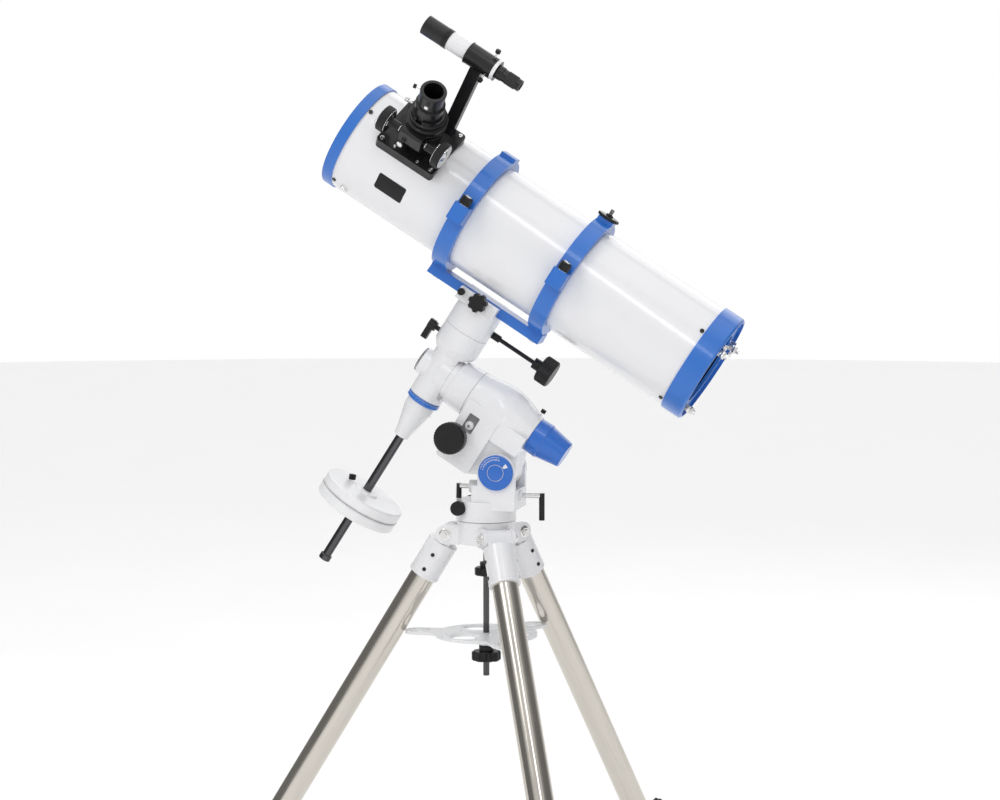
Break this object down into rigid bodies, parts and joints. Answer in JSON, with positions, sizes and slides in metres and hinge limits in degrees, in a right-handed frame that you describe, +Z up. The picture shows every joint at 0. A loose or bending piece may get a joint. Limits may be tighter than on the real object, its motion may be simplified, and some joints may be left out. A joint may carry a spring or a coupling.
{
  "type": "newtonian reflector telescope",
  "caption": "Newtonian reflector telescope with finder and side focuser on a German equatorial mount with counterweight, on an extending steel tripod with accessory tray.",
  "frame": {"origin": "point on the floor under the tripod centre, with the legs spread and retracted", "axes": "+Z up; -X the way the tube opens (the polar axis leans up towards -X); +X towards the tube mirror end; -Y the side with the focuser"},
  "size_m": [0.9273, 0.8832, 1.5172],
  "materials": {
    "white_paint": "white paint",
    "tube_paint": "gloss",
    "blue_paint": "blue paint",
    "blue_plastic": "gloss",
    "black_paint": "black paint",
    "black_chrome": "polished",
    "black_plastic": "gloss",
    "leg_steel": "polished",
    "bright_metal": "polished",
    "worm_brass": "machined",
    "clear_tray": "frosted",
    "mirror_glass": "polished",
    "cell_aluminium": "cast",
    "weight_iron": "white paint"
  },
  "bodies": {
    "tripod": {"tripod_head": "white_paint", "leg_hinge_bolts": "bright_metal", "centre_rod": "black_chrome"},
    "rod_knob_body": {"rod_knob": "black_plastic"},
    "tray": {"accessory_tray": "clear_tray"},
    "tray_knob_body": {"tray_knob": "black_plastic"},
    "azimuth": {"azimuth_base": "white_paint"},
    "azimuth_knob_near_body": {"azimuth_knob_near": "black_plastic"},
    "azimuth_knob_far_body": {"azimuth_knob_far": "black_plastic"},
    "altitude_bolt_front_body": {"altitude_bolt_front": "black_chrome"},
    "altitude_bolt_rear_body": {"altitude_bolt_rear": "black_chrome"},
    "polar": {"polar_housing": "white_paint", "latitude_scale": "blue_plastic"},
    "polar_cap_body": {"polar_cap": "blue_plastic"},
    "ra": {"dec_housing": "white_paint", "ra_axle": "bright_metal"},
    "ra_wheel": {"ra_worm_wheel": "worm_brass"},
    "ra_worm_body": {"ra_worm": "worm_brass"},
    "ra_control": {"ra_slow_control": "black_plastic"},
    "dec": {"saddle": "white_paint", "dec_axle": "bright_metal", "dec_circle": "blue_paint", "shaft_taper": "white_paint", "counterweight_shaft": "black_chrome"},
    "dec_wheel": {"dec_worm_wheel": "worm_brass"},
    "dec_control": {"dec_slow_control": "black_plastic"},
    "dec_clutch": {"dec_clutch_lever": "black_plastic"},
    "saddle_knob_body": {"saddle_knob": "black_plastic"},
    "weights": {"counterweights": "weight_iron"},
    "bar": {"dovetail_bar": "blue_paint", "ring_lower_halves": "blue_paint"},
    "upper_front": {"ring_upper_front": "blue_paint"},
    "upper_rear": {"ring_upper_rear": "blue_paint"},
    "knob_front": {"ring_knob_front": "black_plastic"},
    "knob_rear": {"ring_knob_rear": "black_plastic"},
    "camera": {"camera_screw": "black_plastic"},
    "tube": {"main_tube": "tube_paint", "front_ring": "blue_paint", "rear_ring": "blue_paint", "spider": "black_paint", "secondary_mirror": "mirror_glass", "tube_screws": "bright_metal", "collimation_bolts": "bright_metal", "focuser_body": "black_paint", "finder_bracket": "black_paint"},
    "mirror": {"mirror_cell": "cell_aluminium", "primary_mirror": "mirror_glass"},
    "drawtube_body": {"drawtube": "black_paint"},
    "pinion": {"focus_pinion": "black_plastic"},
    "finder": {"finder_tube": "black_paint"},
    "finder_eye": {"finder_eyepiece": "black_plastic"},
    "leg_1": {"leg_bracket_1": "white_paint", "leg_tube_1": "leg_steel"},
    "lower_1": {"lower_leg_1": "leg_steel"},
    "leg_2": {"leg_bracket_2": "white_paint", "leg_tube_2": "leg_steel"},
    "lower_2": {"lower_leg_2": "leg_steel"},
    "leg_3": {"leg_bracket_3": "white_paint", "leg_tube_3": "leg_steel"},
    "lower_3": {"lower_leg_3": "leg_steel"}
  },
  "joints": [
    {"name": "leg_fold_1", "type": "hinge", "parent": "tripod", "child": "leg_1", "pos_m": [-0.063, 0, 0.683], "axis": [0, -1, 0], "range_deg": [0, 24]},
    {"name": "leg_extend_1", "type": "slide", "parent": "leg_1", "child": "lower_1", "axis": [-0.521, 0, -0.8536], "range_m": [0, 0.35]},
    {"name": "leg_fold_2", "type": "hinge", "parent": "tripod", "child": "leg_2", "pos_m": [0.0315, -0.05456, 0.683], "axis": [0.866, 0.5, 0], "range_deg": [0, 24]},
    {"name": "leg_extend_2", "type": "slide", "parent": "leg_2", "child": "lower_2", "axis": [0.2605, -0.4512, -0.8536], "range_m": [0, 0.35]},
    {"name": "leg_fold_3", "type": "hinge", "parent": "tripod", "child": "leg_3", "pos_m": [0.0315, 0.05456, 0.683], "axis": [-0.866, 0.5, 0], "range_deg": [0, 24]},
    {"name": "leg_extend_3", "type": "slide", "parent": "leg_3", "child": "lower_3", "axis": [0.2605, 0.4512, -0.8536], "range_m": [0, 0.35]},
    {"name": "tray_slide", "type": "slide", "parent": "tripod", "child": "tray", "axis": [0, 0, -1], "range_m": [0, 0.65]},
    {"name": "tray_knob_turn", "type": "hinge", "parent": "tray", "child": "tray_knob_body", "pos_m": [0, 0, 0.487], "axis": [0, 0, 1], "continuous": true},
    {"name": "rod_knob_turn", "type": "hinge", "parent": "tripod", "child": "rod_knob_body", "pos_m": [0, 0, 0.627], "axis": [0, 0, 1], "continuous": true},
    {"name": "azimuth_turn", "type": "hinge", "parent": "tripod", "child": "azimuth", "pos_m": [0, 0, 0.707], "axis": [0, 0, 1], "range_deg": [-5, 5]},
    {"name": "azimuth_knob_near_turn", "type": "hinge", "parent": "azimuth", "child": "azimuth_knob_near_body", "pos_m": [-0.037, -0.042, 0.729], "axis": [0, 1, 0], "continuous": true},
    {"name": "azimuth_knob_far_turn", "type": "hinge", "parent": "azimuth", "child": "azimuth_knob_far_body", "pos_m": [-0.037, 0.042, 0.729], "axis": [0, 1, 0], "continuous": true},
    {"name": "altitude_bolt_front_turn", "type": "hinge", "parent": "azimuth", "child": "altitude_bolt_front_body", "pos_m": [-0.03, 0, 0.761], "axis": [1, 0, 0], "continuous": true},
    {"name": "altitude_bolt_rear_turn", "type": "hinge", "parent": "azimuth", "child": "altitude_bolt_rear_body", "pos_m": [0.06, 0, 0.748], "axis": [1, 0, 0], "continuous": true},
    {"name": "altitude_tilt", "type": "hinge", "parent": "azimuth", "child": "polar", "pos_m": [0.027, 0, 0.789], "axis": [0, 1, 0], "range_deg": [-6, 10]},
    {"name": "polar_cap_pull", "type": "slide", "parent": "polar", "child": "polar_cap_body", "axis": [0.8425, 0, -0.5388], "range_m": [0, 0.03]},
    {"name": "ra_axis", "type": "hinge", "parent": "polar", "child": "ra", "pos_m": [-0.07588, 0, 0.94738], "axis": [0.8425, 0, -0.5388], "range_deg": [-95, 95]},
    {"name": "ra_slow_control_turn", "type": "hinge", "parent": "polar", "child": "ra_control", "pos_m": [-0.04205, 0, 0.84622], "axis": [0, 1, 0], "continuous": true},
    {"name": "ra_worm_turn", "type": "hinge", "parent": "polar", "child": "ra_worm_body", "pos_m": [-0.03117, 0, 0.86323], "axis": [0, 1, 0], "continuous": true},
    {"name": "ra_wheel_turn", "type": "hinge", "parent": "polar", "child": "ra_wheel", "pos_m": [-0.00595, 0, 0.90266], "axis": [0.8425, 0, -0.5388], "continuous": true},
    {"name": "dec_axis", "type": "hinge", "parent": "ra", "child": "dec", "pos_m": [-0.07588, 0, 0.94738], "axis": [0.5388, 0, 0.8425], "continuous": true},
    {"name": "dec_slow_control_turn", "type": "hinge", "parent": "dec", "child": "dec_control", "pos_m": [0.02477, 0.03, 0.9934], "axis": [0.8425, 0, -0.5388], "continuous": true},
    {"name": "dec_wheel_turn", "type": "hinge", "parent": "dec", "child": "dec_wheel", "pos_m": [-0.02577, 0, 1.02573], "axis": [0.5388, 0, 0.8425], "continuous": true},
    {"name": "dec_clutch_turn", "type": "hinge", "parent": "ra", "child": "dec_clutch", "pos_m": [-0.08729, 0, 1.02234], "axis": [0.8425, 0, -0.5388], "range_deg": [-40, 40]},
    {"name": "saddle_knob_turn", "type": "hinge", "parent": "dec", "child": "saddle_knob_body", "pos_m": [-0.00207, -0.048, 1.0628], "axis": [0, 1, 0], "continuous": true},
    {"name": "counterweight_slide", "type": "slide", "parent": "dec", "child": "weights", "axis": [0.5388, 0, 0.8425], "range_m": [-0.08, 0.1]},
    {"name": "bar_slide", "type": "slide", "parent": "dec", "child": "bar", "axis": [0.8425, 0, -0.5388], "range_m": [-0.03, 0.03]},
    {"name": "ring_front_open", "type": "hinge", "parent": "bar", "child": "upper_front", "pos_m": [-0.01743, 0.112, 1.20675], "axis": [-0.8425, 0, 0.5388], "range_deg": [0, 110]},
    {"name": "ring_knob_front_turn", "type": "hinge", "parent": "upper_front", "child": "knob_front", "pos_m": [-0.00396, -0.114, 1.22781], "axis": [0.5388, 0, 0.8425], "continuous": true},
    {"name": "ring_rear_open", "type": "hinge", "parent": "bar", "child": "upper_rear", "pos_m": [0.14138, 0.112, 1.10519], "axis": [-0.8425, 0, 0.5388], "range_deg": [0, 110]},
    {"name": "ring_knob_rear_turn", "type": "hinge", "parent": "upper_rear", "child": "knob_rear", "pos_m": [0.15485, -0.114, 1.12626], "axis": [0.5388, 0, 0.8425], "continuous": true},
    {"name": "camera_screw_turn", "type": "hinge", "parent": "upper_rear", "child": "camera", "pos_m": [0.20118, 0, 1.19871], "axis": [0.5388, 0, 0.8425], "continuous": true},
    {"name": "tube_roll", "type": "hinge", "parent": "bar", "child": "tube", "pos_m": [0.06134, 0, 1.15638], "axis": [0.8425, 0, -0.5388], "range_deg": [-90, 90]},
    {"name": "mirror_collimate", "type": "slide", "parent": "tube", "child": "mirror", "axis": [0.8425, 0, -0.5388], "range_m": [-0.0015, 0.0015]},
    {"name": "focus_travel", "type": "slide", "parent": "tube", "child": "drawtube_body", "axis": [0.3605, -0.7431, 0.5637], "range_m": [0, 0.045]},
    {"name": "focus_wheel_turn", "type": "hinge", "parent": "tube", "child": "pinion", "pos_m": [-0.0895, -0.11869, 1.32699], "axis": [0.8425, 0, -0.5388], "range_deg": [0, 344]},
    {"name": "finder_aim", "type": "hinge", "parent": "tube", "child": "finder", "pos_m": [0.0174, -0.1027, 1.44589], "axis": [-0.2277, -0.9063, -0.356], "range_deg": [-1, 1]},
    {"name": "finder_focus_turn", "type": "hinge", "parent": "finder", "child": "finder_eye", "pos_m": [0.05868, -0.1027, 1.41949], "axis": [0.8425, 0, -0.5388], "continuous": true}
  ],
  "couplings": [
    {"joint": "leg_fold_2", "follows": "leg_fold_1", "ratio": 1},
    {"joint": "leg_fold_3", "follows": "leg_fold_1", "ratio": 1},
    {"joint": "tray_slide", "follows": "leg_fold_1", "m_per_rad": 1.53},
    {"joint": "ra_worm_turn", "follows": "ra_slow_control_turn", "ratio": -1},
    {"joint": "ra_wheel_turn", "follows": "ra_slow_control_turn", "ratio": 0.0069444},
    {"joint": "dec_wheel_turn", "follows": "dec_slow_control_turn", "ratio": -0.0076923},
    {"joint": "focus_wheel_turn", "follows": "focus_travel", "rad_per_m": 133.33}
  ]
}
